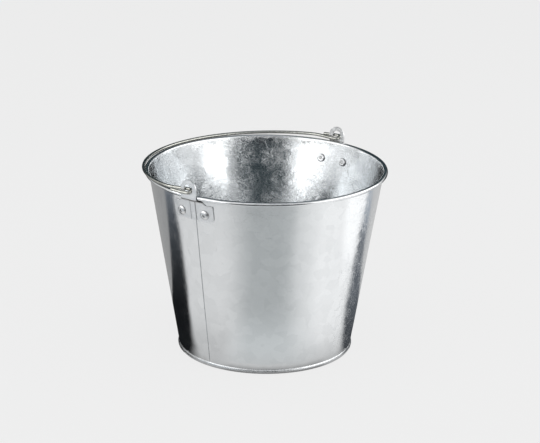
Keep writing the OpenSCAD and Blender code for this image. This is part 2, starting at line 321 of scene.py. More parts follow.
def seam_rise(s):
    """Height of the seam's outside, s across it: a soft slope, a flat, and a crisp edge with a groove."""
    edge_from, edge_to = SEAM_STEP - 0.12, SEAM_STEP + 0.1
    if s > edge_to:
        return SEAM_GROOVE * (soft_step(s, SEAM_STEP + 0.25, SEAM_STEP + 0.75) - 1)
    if s > edge_from:
        return SEAM_HEIGHT - (SEAM_HEIGHT + SEAM_GROOVE) * soft_step(s, edge_from, edge_to)
    return SEAM_HEIGHT * soft_step(s, -10.0, -1.0)


HOOK_IN, HOOK_OUT = 0.1, 0.6        # faces of the hook at the wall's foot, out from the wall's face
HOOK_LOW, HOOK_TOP = 0.6, 2.2
hook_bend = HOOK_OUT - SLIP
curl_start = 180.0 - math.degrees(TAPER)
rim_middle = (RIM_RING_R, RIM_Z)
curl_rows = bend_points(rim_middle, CURL_IN_R, curl_start, CURL_END, 30)
curl_back_rows = bend_points(rim_middle, CURL_OUT_R, CURL_END, curl_start, 44)
outer_rows = straight_points(beside_wall(0, HOOK_LOW), curl_rows[0], 72)
wall_outline = (
    outer_rows + curl_rows + curl_back_rows[:-1]
    + straight_points(curl_back_rows[-1], beside_wall(-SHEET, hook_bend), 72)
    + bend_beside_wall(SLIP, hook_bend, hook_bend, range(180, 361, 30))
    + [beside_wall(HOOK_OUT, HOOK_TOP), beside_wall(HOOK_IN, HOOK_TOP), beside_wall(HOOK_IN, HOOK_LOW)]
)

# columns of points across the seam, close together at its crisp edge, and evenly round the rest
seam_columns = [-10, -8.8, -7.6, -6.4, -5.4, -4.4, -3.6, -2.8, -2.1, -1.5, -1.0, -0.5, 0.1, 0.7, 1.2, 1.5,
                1.75, 1.83, 1.88, 1.93, 1.98, 2.03, 2.1, 2.2, 2.35, 2.5, 2.65, 2.8, 3.2, 4, 5, 7, 9]
COLUMN_TURN, SEAM_CLEAR = 1.2, 5.6              # degrees
wall_angles = sorted(
    [i * COLUMN_TURN for i in range(300) if abs(i * COLUMN_TURN - 180) > SEAM_CLEAR]
    + [180 + math.degrees(s / SEAM_R) for s in seam_columns])
UNEVEN, UNEVEN_WIDTH = 0.16, 46.0


def worked_wall(index, r, z, angle):
    """Lets the seam run down the left side and gives the sheet the slight unevenness of rolling."""
    across = math.radians(angle - 180.0) * SEAM_R
    follow = 1.0 - soft_step(abs(across), 9.0, 45.0)
    lean_to = seam_middle(z) / SEAM_R * follow * soft_step(180.0 - z, 0.0, 6.0)
    at_angle = angle + math.degrees(lean_to)
    turn = math.radians(at_angle)
    if 2.0 < z < 178.5:
        spot = Vector((r * math.cos(turn), r * math.sin(turn), z * 0.6))
        by_ear = soft_step(z, 140.0, 156.0) * soft_step(abs(math.cos(turn)), 0.93, 0.975)
        uneven = noise.noise(spot / UNEVEN_WIDTH) * UNEVEN * (1 - by_ear)
        r += uneven * soft_step(z, 8.0, 26.0) * soft_step(178.0 - z, 0.0, 14.0)
    if index < len(outer_rows) and SEAM_LOW < z < SEAM_TOP:
        r += seam_rise(across) * soft_step(z, SEAM_LOW, SEAM_LOW + 1.2)
    return r, z, at_angle


set_in_place("wall_sheet", spun_sheet(wall_outline, wall_angles, worked_wall),
             body_sheet, "bucket", ["wall"])


# ---- Rim wire ----
# Ring of plain drawn wire that stiffens the rim. The body's edge is curled tight over it, so
# only a sliver of it shows in the gap under the curl.

RIM_WIRE_R = 1.64


def drawn_wire(name, dark, light, rough):
    """Drawn and galvanised wire: small zinc runs, a fine grain and rubbed spots."""
    material, tree, metal, place = shop_finish(name)
    runs = mottle(tree, place, 260.0, 4.0, 0.6)
    fine = mottle(tree, place, 1500.0, 3.0)
    tone = weighed(tree, (runs, 0.7), (fine, 0.3))
    colour = two_tone(tree, from_to(tree, tone, 0.3, 0.7, 0.0, 1.0), dark, light)
    roughness = from_to(tree, tone, 0.3, 0.7, rough + 0.08, rough - 0.06)
    height = weighed(tree, (runs, 0.03 * MM), (fine, 0.006 * MM))
    dress_metal(tree, metal, colour, roughness, height, shade_reach=1.6)
    return material


rim_steel = drawn_wire("rim_wire_steel", (0.36, 0.36, 0.34), (0.56, 0.56, 0.53), 0.34)
rim_wire_section = bend_points(rim_middle, RIM_WIRE_R, 0, 360, 20)[:-1]
set_in_place("rim_wire_ring", spun_sheet(rim_wire_section, [i * 2.0 for i in range(180)]),
             rim_steel, "bucket", ["rim_wire"])


# ---- Base ----
# Pressed disc of the same sheet, raised off the floor. Its edge turns down inside the wall and is
# folded round the wall's hook and pressed flat, which makes the narrow band round the foot.

base_sheet = galvanised_sheet(
    "galvanised_base", (0.56, 0.575, 0.59), (0.70, 0.71, 0.72), spangle_mm=9.0, tilt=0.008, fern_mm=0.015,
    rough_low=0.18, rough_high=0.28, handling=1.5)
DISC_Z, DISC_TOP = 6.0, 6.0 + SHEET
CORNER_R, CORNER_OUT_R = 0.4, 0.75          # bends where the disc turns down
SKIRT_IN, SKIRT_OUT, SKIRT_TOP = -1.05, -0.55, 2.5
disc_rings = [10, 22, 34, 46, 58, 68, 76, 81]
base_outline = (
    # the disc's top, out to its turned-down edge
    [(0, DISC_TOP)] + [(r, DISC_TOP) for r in disc_rings]
    + bend_points((85.55, DISC_TOP - CORNER_OUT_R), CORNER_OUT_R, 90, 10, 4)
    # down inside the wall, round under its hook and over the hook's end
    + [beside_wall(SKIRT_OUT, SKIRT_TOP)]
    + bend_beside_wall(SLIP, 0, 0.6, range(180, 361, 30))
    + [beside_wall(x, y) for x, y in ((0.65, 1.8), (0.65, 2.3), (0.03, 2.4), (0.03, 3.62), (0.12, 3.56))]
    # the band's outside, the underside of the fold, and up its inside
    + bend_beside_wall(-2.3, 0.78, 3.6, range(37, -11, -4))
    + bend_beside_wall(-0.09, 0.35, 1.35, range(-11, -91, -8))
    + bend_beside_wall(SLIP, 0, 1.1, range(250, 179, -20))
    + [beside_wall(SKIRT_IN, SKIRT_TOP)]
    # back under the disc
    + bend_points((84.9, DISC_Z - CORNER_R), CORNER_R, 10, 90, 3)
    + [(r, DISC_Z) for r in reversed(disc_rings)] + [(0, DISC_Z)]
)
DISH, DISH_WIDTH, BAND_UNEVEN = 0.18, 30.0, 0.05


def worked_base(index, r, z, angle):
    """Keeps the fold flat on the floor, lets the disc dish a little and the band waver."""
    z = max(z, 0.0)
    turn = math.radians(angle)
    if r < 82 and z > 5:
        z += DISH * noise.noise(Vector((r * math.cos(turn), r * math.sin(turn), 3.0)) / DISH_WIDTH)
    if z < 5.2 and r > 86.5:
        r += BAND_UNEVEN * noise.noise(Vector((math.cos(turn) * 2.0, math.sin(turn) * 2.0, 1.0)))
    return r, z, angle


base_mesh = spun_sheet(base_outline, [i * 0.75 for i in range(480)], worked_base, closed=False)
set_in_place("base_pan", base_mesh, base_sheet, "bucket", ["base"])


# ---- Ears ----
# Two stamped plates of one-millimetre galvanised steel. The wings lie on the wall, the plate steps
# out round the rim and a round tongue stands up with the hole for the bail. The left plate is
# creased out over the side seam. Each is held by two blind rivets.

EAR_SHEET = 1.0
TONGUE_IN_R = 120.15
STEP_LOW_Z, STEP_HIGH_Z = 178.4, 181.48
EAR_HOLE_Z, EAR_HOLE_R = 190.7, 5.0
CREASE_MIDDLE, CREASE_H, LINE_DEPTH = 1.4, 0.62, 0.25
BELOW_EAR, ABOVE_EAR = 150.0, 210.0
BEND_REACH = 0.55               # how far up and down each bend is spread
# corners of the plate, across and up, each with its radius
EAR_CORNERS = [
    (-23.3, 159.2, 4.5), (23.3, 159.2, 4.5), (23.3, 175.9, 1.5), (15.6, 175.6, 1.0), (9.0, 180.9, 2.6),
    (9.2, 199.9, 9.2), (-9.2, 199.9, 9.2), (-9.0, 180.9, 2.6), (-15.6, 175.6, 1.0), (-23.3, 175.9, 1.5)]


def rounded_outline(corners, steps=8):
    """The plate's outline with its corners rounded."""
    points = []
    for i, (x, y, radius) in enumerate(corners):
        here = Vector((x, y))
        before = (Vector(corners[i - 1][:2]) - here).normalized()
        after = (Vector(corners[(i + 1) % len(corners)][:2]) - here).normalized()
        half = before.angle(after) / 2
        reach = radius / math.tan(half)
        middle = here + (before + after).normalized() * radius / math.sin(half)
        start, end = here + before * reach - middle, here + after * reach - middle
        turn = start.angle_signed(end)
        for k in range(steps + 1):
            points.append(middle + Matrix.Rotation(-turn * k / steps, 2) @ start)
    kept = []
    for point in points:
        if not kept or (point - kept[-1]).length > 0.02:
            kept.append(point)
    return kept


def ear_sections():
    """Radius of the plate's inner and outer faces against height, with its bends rounded."""
    inner = [(wall_radius(BELOW_EAR) + SLIP, BELOW_EAR), (wall_radius(STEP_LOW_Z) + SLIP, STEP_LOW_Z),
             (TONGUE_IN_R, STEP_HIGH_Z), (TONGUE_IN_R, ABOVE_EAR)]
    ways = [(Vector(b) - Vector(a)).normalized() for a, b in zip(inner, inner[1:])]
    square = [Vector((way.y, -way.x)) for way in ways]
    outer = [Vector(inner[0]) + square[0] * EAR_SHEET]
    for k in (1, 2):
        before, after = square[k - 1], square[k]
        outer.append(Vector(inner[k]) + (before + after) * EAR_SHEET / (1 + before.dot(after)))
    outer.append(Vector(inner[3]) + square[2] * EAR_SHEET)

    def radius_on(path, z):
        for a, b in zip(path, path[1:]):
            if a[1] <= z <= b[1]:
                return a[0] + (b[0] - a[0]) * (z - a[1]) / (b[1] - a[1])
        return path[-1][0]

    def softened(path, z):
        return sum(radius_on(path, z + BEND_REACH * k / 4) for k in range(-4, 5)) / 9

    return (lambda z: softened(inner, z)), (lambda z: softened(outer, z))


ear_inner_r, ear_outer_r = ear_sections()


def crease_rise(y, z):
    """How far the left plate is creased out over the seam."""
    over_seam = 1 - soft_step(abs(y - CREASE_MIDDLE), 2.55, 2.9)
    return CREASE_H * over_seam * (1 - soft_step(z, STEP_LOW_Z - 0.4, STEP_HIGH_Z - 0.4))


def pressed_line(y, z):
    """Share of the thin line that the die leaves along both sides of the crease, on the outside."""
    front = soft_step(y, 4.1, 4.3) * (1 - soft_step(y, 4.4, 4.65))
    back = soft_step(-y, 1.4, 1.65) * (1 - soft_step(-y, 2.15, 2.4))
    return max(front, back) * soft_step(STEP_LOW_Z - z, -0.4, 0.6)


def bend_shade(z):
    """Share of painted shade in the bend where the plate steps out round the rim, whose face looks down."""
    return soft_step(z, 178.3, 179.0) * (1 - soft_step(z, 180.6, 181.2))


# the plate is cut into rows and columns, so that it can follow its bends and its crease
ear_rows = ([161.5 + 2.5 * k for k in range(6)] + [176.9 + 0.45 * k for k in range(15)]
            + [185.0 + 2.0 * k for k in range(8)])
ear_columns = [-21 + 3.0 * k for k in range(15)]
crease_columns = [CREASE_MIDDLE + way * x for way in (-1, 1)
                  for x in (2.4, 2.55, 2.7, 2.8, 2.9, 3.0, 3.1, 3.25, 3.5, 3.65, 3.8)]


def stamped_ear(side, creased):
    """Mesh of one ear on the side where side is +1 for +X and -1 for -X."""
    flat = bmesh.new()
    hole = [Vector((EAR_HOLE_R * math.cos(a), EAR_HOLE_Z + EAR_HOLE_R * math.sin(a)))
            for a in [math.tau * k / 48 for k in range(48)]]
    edges = []
    for loop in (rounded_outline(EAR_CORNERS), hole):
        verts = [flat.verts.new((p.x, p.y, 0)) for p in loop]
        edges += [flat.edges.new((verts[i - 1], verts[i])) for i in range(len(verts))]
    bmesh.ops.triangle_fill(flat, use_beauty=True, edges=edges)
    cuts = [((0, z, 0), (0, 1, 0)) for z in ear_rows]
    cuts += [((y, 0, 0), (1, 0, 0)) for y in ear_columns + (crease_columns if creased else [])]
    for point, square in cuts:
        bmesh.ops.bisect_plane(flat, geom=flat.verts[:] + flat.edges[:] + flat.faces[:], dist=1e-4,
                               plane_co=point, plane_no=square)
    mesh = bmesh.new()
    # a layer of painted shade for the plate's folds
    fold_shade = mesh.verts.layers.float.new("painted_fold_shade")
    layers = []
    for radius_at in (ear_inner_r, ear_outer_r):
        layer = []
        for vert in flat.verts:
            y, z = vert.co.x, vert.co.y
            r = radius_at(z) + (crease_rise(y, z) if creased else 0.0)
            line = pressed_line(y, z) if creased and radius_at is ear_outer_r else 0.0
            r -= LINE_DEPTH * line
            x = math.sqrt(r * r - y * y)
            # across runs towards the front on both ears
            made = mesh.verts.new((side * x * MM, -y * MM, z * MM))
            # painted shade in the bend under the rim and in the pressed lines beside the crease
            made[fold_shade] = max(0.85 * bend_shade(z), 0.6 * line)
            layer.append(made)
        layers.append(layer)
    flat.verts.index_update()
    for face in flat.faces:
        ids = [v.index for v in face.verts]
        mesh.faces.new([layers[1][i] for i in ids])
        mesh.faces.new([layers[0][i] for i in reversed(ids)])
    for edge in flat.edges:
        if len(edge.link_faces) == 1:
            a, b = edge.verts[0].index, edge.verts[1].index
            mesh.faces.new((layers[0][a], layers[0][b], layers[1][b], layers[1][a]))
    flat.free()
    bmesh.ops.recalc_face_normals(mesh, faces=mesh.faces)
    return mesh


ear_plate = galvanised_sheet(
    "galvanised_ear", (0.68, 0.69, 0.70), (0.84, 0.84, 0.84), spangle_mm=5.0, tilt=0.015, fern_mm=0.01,
    rough_low=0.30, rough_high=0.40, handling=1.2, painted_inner_light=0.4)
for name, side, creased in (("ear_left", -1, True), ("ear_right", 1, False)):
    ear = set_in_place("stamped_" + name, stamped_ear(side, creased), ear_plate,
                       "bucket", [name], 30.0)
    softened_edge = ear.modifiers.new("rolled_edge", "BEVEL")
    softened_edge.width = 0.22 * MM
    softened_edge.segments = 2
    softened_edge.limit_method = "ANGLE"
    softened_edge.angle_limit = math.radians(50)


# ---- Rivets ----
# Blind rivets of zinc plated steel, four in all. Each has a low domed head outside with a small
# recess in its middle, a shank through ear and wall, and a rounded set end inside the bucket.

RIVET_Z, RIVET_ACROSS = 166.2, 13.65
HEAD_R, HEAD_H, SHANK_R = 4.8, 2.0, 2.4
TAIL_R, TAIL_H, PIN_R = 4.0, 1.8, 1.3
HEAD_SEAT = EAR_SHEET + 0.1         # over the wall's outer face
TAIL_SEAT = -SHEET - 0.05
HEAD_EDGE, DOME_POWER = 0.12, 1.15  # height of the head's rim, and how full its dome is
TAIL_CORNER, TAIL_ROUND = 0.3, 0.9


def plated_steel(name, dark, light, rough):
    """Zinc plating with a fine blasted grain and cloudy patches."""
    material, tree, metal, place = shop_finish(name)
    grain = mottle(tree, place, 1300.0, 3.0)
    patch = mottle(tree, place, 330.0, 3.0, 0.6)
    tone = from_to(tree, weighed(tree, (grain, 0.4), (patch, 0.6)), 0.35, 0.65, 0.0, 1.0)
    roughness = from_to(tree, tone, 0.0, 1.0, rough + 0.07, rough - 0.05)
    height = weighed(tree, (grain, 0.02 * MM), (patch, 0.06 * MM))
    dress_metal(tree, metal, two_tone(tree, tone, dark, light), roughness, height, shade_reach=1.2)
    return material


def on_rivet(side, way):
    """Where a rivet sits: its axis square to the wall, z outward. side is +1 for +X, way +1 towards +Y."""
    r = wall_radius(RIVET_Z)
    turn = way * RIVET_ACROSS / r * side
    square = Matrix.Rotation(turn, 4, "Z") @ Matrix.Translation((side * r * MM, 0, RIVET_Z * MM))
    return square @ Matrix.Rotation(side * (math.pi / 2 + TAPER), 4, "Y")


dome = []
for k in range(15):
    a = math.radians(6.0 * k)
    r = HEAD_R * math.cos(a)
    if r > PIN_R + 0.35:
        dome.append((r, HEAD_SEAT + HEAD_EDGE + (HEAD_H - HEAD_EDGE) * math.sin(a) ** DOME_POWER))
dome_end = dome[-1][1]
rivet_section = (
    [(PIN_R + 0.05, TAIL_SEAT - TAIL_H)]
    + bend_points((PIN_R + 0.35, TAIL_SEAT - TAIL_H + TAIL_CORNER), TAIL_CORNER, 180, 270, 3)
    + bend_points((TAIL_R - 0.85, TAIL_SEAT - TAIL_ROUND), TAIL_ROUND, -90, 75, 10)
    + [(SHANK_R + 0.5, TAIL_SEAT), (SHANK_R, TAIL_SEAT), (SHANK_R, HEAD_SEAT)]
    + [(HEAD_R - HEAD_EDGE, HEAD_SEAT)] + dome
    + [(PIN_R + 0.18, dome_end - 0.06), (PIN_R + 0.06, dome_end - 0.25), (PIN_R + 0.05, HEAD_SEAT)]
)
rivet_steel = plated_steel("rivet_zinc", (0.58, 0.59, 0.60), (0.80, 0.80, 0.80), 0.26)
for name, side, way in (("left_front", -1, -1), ("left_back", -1, 1),
                        ("right_front", 1, -1), ("right_back", 1, 1)):
    mesh = spun_sheet(rivet_section, [9.0 * i for i in range(40)])
    mesh.transform(on_rivet(side, way))
    set_in_place("rivet_" + name + "_set", mesh, rivet_steel, "bucket", ["rivet_" + name], 40.0)


# ---- Rivet pins ----
# The broken ends of the setting pins, plain steel, left inside the four rivets. They end a little
# down in each head's recess and show as a small dot in the set ends inside the bucket.

pin_steel = plated_steel("pin_steel", (0.54, 0.54, 0.54), (0.74, 0.74, 0.73), 0.32)
pin_low, pin_high = TAIL_SEAT - TAIL_H - 0.2, HEAD_SEAT + HEAD_H - 1.2
pin_section = [(0, pin_low), (0.7, pin_low), (1.1, pin_low + 0.08), (PIN_R, pin_low + 0.3),
               (PIN_R, pin_high - 0.25), (1.15, pin_high - 0.05), (0.6, pin_high + 0.02),
               (0.25, pin_high - 0.12), (0, pin_high - 0.1)]
pins = bmesh.new()
for side in (-1, 1):
    for way in (-1, 1):
        pin = spun_sheet(pin_section, [18.0 * i for i in range(20)], closed=False)
        pin.transform(on_rivet(side, way))
        loose = bpy.data.meshes.new("pin")
        pin.to_mesh(loose)
        pin.free()
        pins.from_mesh(loose)
        bpy.data.meshes.remove(loose)
set_in_place("rivet_pin_ends", pins, pin_steel, "bucket", ["rivet_pins"], 40.0)


# ---- Bail ----
# One length of galvanised spring wire. The bow lies just outside the rim; at each end it bends in
# to a straight leg, turns out through the ear's hole and is folded back as a short tail outside.

WIRE_R = 1.6
BOW_R, LEG_X, TAIL_X, HOOK_R = 121.0, 117.85, 123.45, 2.3
TAIL_LENGTH, SHOULDER_R = 19.0, 40.0
PIVOT_Y, PIVOT_Z = -2.6, 189.05
HOOK_TILT = {-1: math.radians(22), 1: math.radians(-22)}       # the hooks sit askew in their holes
REST_GAP = 0.35                                                 # between the bow and the curled rim
resting_lift = math.sqrt((CURL_OUT_R + WIRE_R + REST_GAP) ** 2 - (BOW_R - RIM_RING_R) ** 2)
droop = math.asin((PIVOT_Z - RIM_Z - resting_lift) / (BOW_R - PIVOT_Y))
bend_x = LEG_X - SHOULDER_R
bend_y = -PIVOT_Y + math.sqrt((BOW_R - SHOULDER_R) ** 2 - bend_x ** 2)
bend_turn = math.degrees(math.atan2(bend_y + PIVOT_Y, bend_x))


def bail_half():
    """Points along one end from the tail's tip to the top of the bow, in the bail's own plane."""
    points = straight_points((TAIL_X, HOOK_R + TAIL_LENGTH), (TAIL_X, HOOK_R), 12)
    points += bend_points((TAIL_X - HOOK_R, HOOK_R), HOOK_R, 0, -90, 8)
    points += bend_points((LEG_X + HOOK_R, HOOK_R), HOOK_R, -90, -180, 8)
    points += straight_points((LEG_X, HOOK_R), (LEG_X, bend_y), 14)[1:]
    points += bend_points((bend_x, bend_y), SHOULDER_R, 0, bend_turn, 8)[:-1]
    points += bend_points((0, -PIVOT_Y), BOW_R, bend_turn, 90, 70)
    return points


def hung(point, side):
    """A point of the bail where it rests: hook tilted in the hole, bow drooped onto the rim."""
    x, y = point
    middle = (LEG_X + TAIL_X) / 2
    tilted = 1.0 - soft_step(y, 6.0, 34.0)
    z = -(x - middle) * math.tan(HOOK_TILT[side]) * tilted if x > LEG_X - 1.5 else 0.0
    if x <= middle:
        z *= 1.0 - soft_step(y, 3.0, 30.0)
    turned = Matrix.Rotation(-droop, 3, "X") @ Vector((side * x, y, z))
    return Vector((turned.x, turned.y + PIVOT_Y, turned.z + PIVOT_Z))


right_half = [hung(p, 1) for p in bail_half()]
left_half = [hung(p, -1) for p in bail_half()]
bail_path = right_half + list(reversed(left_half[:-1]))


def bent_wire(path, radius, sides=20):
    """A round wire along the path, with its cut ends slightly chamfered."""
    mesh = bmesh.new()
    tangents = []
    for i in range(len(path)):
        tangents.append((path[min(i + 1, len(path) - 1)] - path[max(i - 1, 0)]).normalized())
    up = Vector((0, 0, 1))
    rings = []
    cut, shoulder, chamfer = radius * 0.78, radius * 0.98, 0.35
    for i, (point, along) in enumerate(zip(path, tangents)):
        up = (up - along * up.dot(along)).normalized()
        beside = along.cross(up)
        stations = [(0.0, radius)]
        if i == 0:
            stations = [(0.0, cut), (chamfer, shoulder)]
        elif i == len(path) - 1:
            stations = [(-chamfer, shoulder), (0.0, cut)]
        for offset, r in stations:
            centre = point + along * offset
            rings.append([mesh.verts.new((centre + (up * math.cos(a) + beside * math.sin(a)) * r) * MM)
                          for a in [math.tau * k / sides for k in range(sides)]])
    for low, high in zip(rings, rings[1:]):
        for k in range(sides):
            mesh.faces.new((low[k], low[(k + 1) % sides], high[(k + 1) % sides], high[k]))
    mesh.faces.new(rings[0])
    mesh.faces.new(list(reversed(rings[-1])))
    bmesh.ops.recalc_face_normals(mesh, faces=mesh.faces)
    return mesh


bail_steel = drawn_wire("bail_wire_zinc", (0.38, 0.38, 0.35), (0.60, 0.60, 0.56), 0.22)
set_in_place("bail_wire", bent_wire(bail_path, WIRE_R), bail_steel, "bail", ["bail"], 40.0)


# ---- Floor, light and camera ----
# A pale table and room, big soft lamps to both sides and above, and grey, black and bright cards
# laid out round the bucket, which only the metal sees, as for any shiny thing.

CAMERA_AZIMUTH, CAMERA_RISE, CAMERA_AWAY = -52.8, 19.298, 1.9      # degrees, degrees, metres
RIM_LEVEL = 182                     # millimetres up, where the standing cards count their angles from
front_turn = math.radians(CAMERA_AZIMUTH)


def before_camera(x, y, z=0.0):
    """A place in metres from millimetres to the right, away from the camera, and up."""
    return Vector((x * math.cos(front_turn) - y * math.sin(front_turn),
                   x * math.sin(front_turn) + y * math.cos(front_turn), z)) * MM


def round_bucket(azimuth, away, z):
    """A place that far from the bucket's middle, azimuth in degrees from the camera's side to the right."""
    return before_camera(away * math.sin(math.radians(azimuth)), -away * math.cos(math.radians(azimuth)), z)


PALE = (0.856, 0.856, 0.856, 1.0)
TABLE_GLOW = 0.93               # share of the table's look that the lamps don't change
table_paint = bpy.data.materials.new("pale_table")
table_paint.use_nodes = True
tree = table_paint.node_tree
tree.nodes.clear()
rays = add_node(tree, "ShaderNodeLightPath").outputs
matte = add_node(tree, "ShaderNodeBsdfDiffuse", Color=PALE)
shown = add_node(tree, "ShaderNodeEmission", Color=PALE, Strength=1.0)
seen = maths(tree, "MAXIMUM", rays["Is Camera Ray"], rays["Is Glossy Ray"])
seen = maths(tree, "MULTIPLY", seen, TABLE_GLOW)
paint = add_node(tree, "ShaderNodeMixShader", n0=seen, n1=matte.outputs[0], n2=shown.outputs[0])
add_node(tree, "ShaderNodeOutputMaterial", Surface=paint.outputs[0])
table_mesh = bpy.data.meshes.new("table")
table_mesh.from_pydata([(-6, -6, 0), (6, -6, 0), (6, 6, 0), (-6, 6, 0)], [], [(0, 1, 2, 3)])
table_mesh.materials.append(table_paint)
table = bpy.data.objects.new("table", table_mesh)
bpy.context.scene.collection.objects.link(table)


def studio_card(name, rows, tint=(1.0, 1.0, 1.0)):
    """A card that only reflections see. Each row has places with how bright the card looks there,
    from 0 for black velvet to 1 for white paper and more for a lit one, and how far it covers what
    lies behind it."""
    data = bpy.data.meshes.new(name)
    wide = len(rows[0])
    spots = [spot for row in rows for spot in row]
    data.from_pydata([spot[0] for spot in spots], [],
                     [(i * wide + k, i * wide + k + 1, i * wide + wide + k + 1, i * wide + wide + k)
                      for i in range(len(rows) - 1) for k in range(wide - 1)])
    for which, label in ((1, "tone"), (2, "cover")):
        layer = data.attributes.new(label, "FLOAT", "POINT")
        for index, spot in enumerate(spots):
            layer.data[index].value = spot[which]
    paint = bpy.data.materials.new(name)
    paint.use_nodes = True
    tree = paint.node_tree
    tree.nodes.clear()
    tone = add_node(tree, "ShaderNodeAttribute", {"attribute_name": "tone"}).outputs["Fac"]
    cover = add_node(tree, "ShaderNodeAttribute", {"attribute_name": "cover"}).outputs["Fac"]
    glow = add_node(tree, "ShaderNodeEmission", Color=tint + (1.0,), Strength=tone)
    clear = add_node(tree, "ShaderNodeBsdfTransparent")
    faded = add_node(tree, "ShaderNodeMixShader", n0=from_to(tree, cover, 0.0, 1.0, 0.0, 1.0),
                     n1=clear.outputs[0], n2=glow.outputs[0])
    add_node(tree, "ShaderNodeOutputMaterial", Surface=faded.outputs[0])
    data.materials.append(paint)
    card = bpy.data.objects.new(name, data)
    bpy.context.scene.collection.objects.link(card)
    card.visible_camera = card.visible_diffuse = card.visible_shadow = card.visible_transmission = False


def flat_card(name, height, rows, tint=(1.0, 1.0, 1.0)):
    """A card on the table. Each row is its distance from the bucket's middle, then azimuth, tone and
    cover for each place along it."""
    studio_card(name, [[(round_bucket(azimuth, away, height), tone, cover)
                        for azimuth, tone, cover in spots] for away, spots in rows], tint)


def standing_card(name, away, rows, tint=(1.0, 1.0, 1.0)):
    """A card that stands round the bucket. Each row is its angle over the rim, then azimuth, tone and
    cover for each place along it."""
    placed = []
    for rise, spots in rows:
        z = RIM_LEVEL + away * math.tan(math.radians(rise))
        placed.append([(round_bucket(azimuth, away, z), tone, cover) for azimuth, tone, cover in spots])
    studio_card(name, placed, tint)


def faded_rows(*rows):
    """Rows for a flat card, each of one tone and faded out at both ends: its distance, its tone, and
    the azimuths where it starts, is full, is no longer full and stops."""
    return [(away, [(start, tone, 0), (full, tone, 1), (last, tone, 1), (stop, tone, 0)])
            for away, tone, start, full, last, stop in rows]


COOL, COLD = (0.88, 0.98, 1.12), (0.85, 1.0, 1.12)
# grey behind, a grey wedge towards the camera, white on the right
flat_card("card_grey_behind_left", 0.4, [
    (away, [(-100, tone, 1), (-130, tone, 1), (-150, tone, 1), (-180, 0.48, 1)])
    for away, tone in ((120, 0.36), (260, 0.37), (1200, 0.38))])
flat_card("card_grey_behind_right", 0.4, [
    (away, [(180, 0.48, 1), (150, tone, 1), (130, tone, 1), (100, tone, 1)])
    for away, tone in ((120, 0.55), (260, 0.64), (1200, 0.66))])
flat_card("card_wedge", 0.5, [
    (away, [(-44, tone, 0), (-25, tone, 0.5), (-9, tone, 1), (10, tone, 1), (36, tone, 1), (60, tone, 1)])
    for away, tone in ((100, 0.76), (135, 0.70), (190, 0.52), (300, 0.54), (480, 0.56))], (0.96, 1.0, 1.01))
flat_card("card_white_right", 0.6, [
    (away, [(8, tone, 0), (30, tone, 0.5), (56, tone, 1), (90, tone, 1), (112, tone, 1)])
    for away, tone in ((100, 0.9), (140, 1.03), (200, 1.1), (480, 1.12))])
flat_card("card_bright_right", 0.7, [
    (away, [(74, 1.36, 0), (85, 1.36, cover), (100, 1.36, cover), (114, 1.36, cover)])
    for away, cover in ((190, 0.0), (260, 0.5), (320, 1.0), (420, 1.0), (520, 0.0))])
# the shade close round the foot
flat_card("card_shade", 0.75, [
    (away, [(azimuth, front if -28 < azimuth < 40 else 0.62,
             cover + (left if -100 < azimuth < -25 else 0.0)) for azimuth in range(-180, 181, 12)])
    for away, front, cover, left in (
        (86, 0.25, 0.95, 0.0), (91, 0.4, 0.9, 0.0), (97, 0.62, 0.6, 0.2), (102, 0.62, 0.5, 0.3),
        (130, 0.62, 0.12, 0.5), (160, 0.62, 0.0, 0.3), (200, 0.62, 0.0, 0.0))])
# black to both sides
flat_card("card_black_left", 0.9, faded_rows(
    (90, 0.01, -175, -165, -66, -44),
    (104, 0.01, -160, -152, -70, -54),
    (117, 0.01, -150, -142, -76, -64),
    (143, 0.01, -136, -130, -81, -73),
    (170, 0.01, -129, -124, -85, -79),
    (198, 0.015, -123, -119, -87, -80),
    (259, 0.03, -117, -113, -91, -84),
    (325, 0.07, -114, -110, -94, -87),
    (394, 0.14, -113, -108, -97, -92),
    (450, 0.25, -113, -108, -98, -92))
    + [(520, [(azimuth, 0.3, 0) for azimuth in (-113, -108, -98, -92)])], COOL)
flat_card("card_black_right", 0.9, faded_rows(
    (90, 0.06, 58, 74, 150, 160),
    (113, 0.07, 72, 84, 138, 146),
    (140, 0.09, 80, 90, 132, 138),
    (169, 0.12, 86, 94, 128, 133),
    (199, 0.15, 91, 98, 125, 130),
    (263, 0.16, 96, 103, 120, 125),
    (333, 0.2, 102, 108, 120, 125),
    (384, 0.45, 107, 112, 120, 125),
    (450, 0.5, 109, 113, 120, 126)), COOL)
# standing round it: black behind, and dark low down round the camera
standing_card("card_black_behind", 1000, [
    (rise, [(134 - turn, 0.06, 0), (160 - turn, 0.06, cover), (180, 0.055, cover), (200, 0.055, cover),
            (230, 0.06, cover), (258, 0.06, 0)])
    for rise, cover, turn in ((4, 1.0, 0), (12, 1.0, 0), (17, 1.0, 1), (21, 1.0, 17), (40, 0.9, 17),
                              (62, 0.9, 10), (72, 0.9, 0))], (0.68, 1.0, 1.14))
standing_card("card_black_low_behind", 560, [
    (rise, [(118, 0.04, 0), (134, 0.04, cover), (160, 0.04, cover), (180, 0.03, cover), (200, 0.03, cover),
            (226, 0.04, cover), (244, 0.04, 0)])
    for rise, cover in ((-18, 1.0), (-6, 1.0), (4, 1.0), (8, 0.0))], (0.85, 1.0, 1.12))
standing_card("card_dark_front", 960, [
    (rise, [(-32, 0.06, 0), (-14, 0.05, 0.8 * cover), (4, 0.04, cover), (24, 0.06, cover), (42, 0.08, 0)])
    for rise, cover in ((-8, 1.0), (5, 1.0), (9, 0.0))], (0.82, 1.0, 1.18))
standing_card("card_dim_front", 940, [
    (rise, [(-32, 0.2, 0), (-14, 0.2, 0.8 * cover), (4, 0.2, cover), (24, 0.2, cover), (42, 0.2, 0)])
    for rise, cover in ((22, 0.0), (30, 0.8), (60, 0.8), (68, 0.8), (74, 0.0))], (0.9, 1.0, 1.1))
